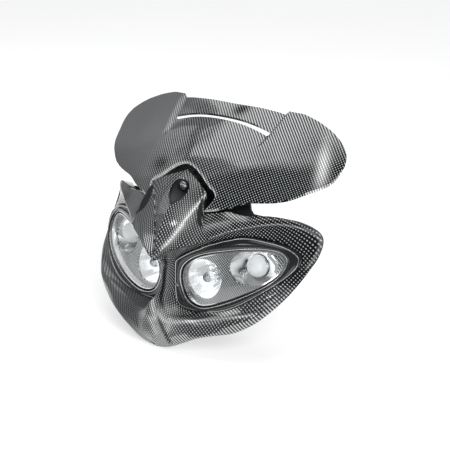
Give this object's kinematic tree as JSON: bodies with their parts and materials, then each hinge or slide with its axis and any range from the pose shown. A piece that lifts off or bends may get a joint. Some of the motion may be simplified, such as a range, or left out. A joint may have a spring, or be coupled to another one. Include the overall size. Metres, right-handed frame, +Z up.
{
  "type": "motorcycle headlight mask",
  "caption": "Streetfighter-style headlight mask: carbon-look shell with a pointed nose, almond-shaped twin lamp units and a wide winged flyscreen on a black carrier.",
  "frame": {"origin": "middle of the flat rear face of the steel frame, in the mirror plane", "axes": "+X to the right of someone who looks at the front, +Y to the rear (the light shines towards -Y), +Z up"},
  "size_m": [0.3262, 0.1559, 0.2571],
  "materials": {
    "carbon_look": "clear-coated woven-look film, dark grey with light dots, glossy",
    "black_plastic": "fine-grained black moulding",
    "clear_lens": "clear moulded lens",
    "chrome": "mirror-bright metallised",
    "black_steel": "black powder coat",
    "zinc_steel": "zinc-plated",
    "rubber": "matt black rubber",
    "bulb_glass": "clear glass"
  },
  "bodies": {
    "root": {"aux_barrel_left": "chrome", "aux_barrel_right": "chrome", "aux_boot_left": "rubber", "aux_boot_right": "rubber", "aux_lens_left": "bulb_glass", "aux_lens_right": "bulb_glass", "aux_reflector_left": "chrome", "aux_reflector_right": "chrome", "bezel_left": "black_plastic", "bezel_right": "black_plastic", "carrier_nut_left": "zinc_steel", "carrier_nut_right": "zinc_steel", "carrier_screw_left": "zinc_steel", "carrier_screw_right": "zinc_steel", "flyscreen": "carbon_look", "front_mask": "carbon_look", "housing_screw_lower_left": "zinc_steel", "housing_screw_lower_right": "zinc_steel", "housing_screw_upper_left": "zinc_steel", "housing_screw_upper_right": "zinc_steel", "lamp_housing_left": "black_plastic", "lamp_housing_right": "black_plastic", "lamp_panel_left": "carbon_look", "lamp_panel_right": "carbon_look", "lens_left": "clear_lens", "lens_right": "clear_lens", "lens_screw_left": "zinc_steel", "lens_screw_right": "zinc_steel", "lens_seal_left": "rubber", "lens_seal_right": "rubber", "main_boot_left": "rubber", "main_boot_right": "rubber", "main_bulb_left": "bulb_glass", "main_bulb_right": "bulb_glass", "main_reflector_left": "chrome", "main_reflector_right": "chrome", "nose_screw": "zinc_steel", "rear_frame": "black_steel", "screen_carrier": "black_plastic", "screen_screw_left": "zinc_steel", "screen_screw_right": "zinc_steel"}
  },
  "joints": []
}
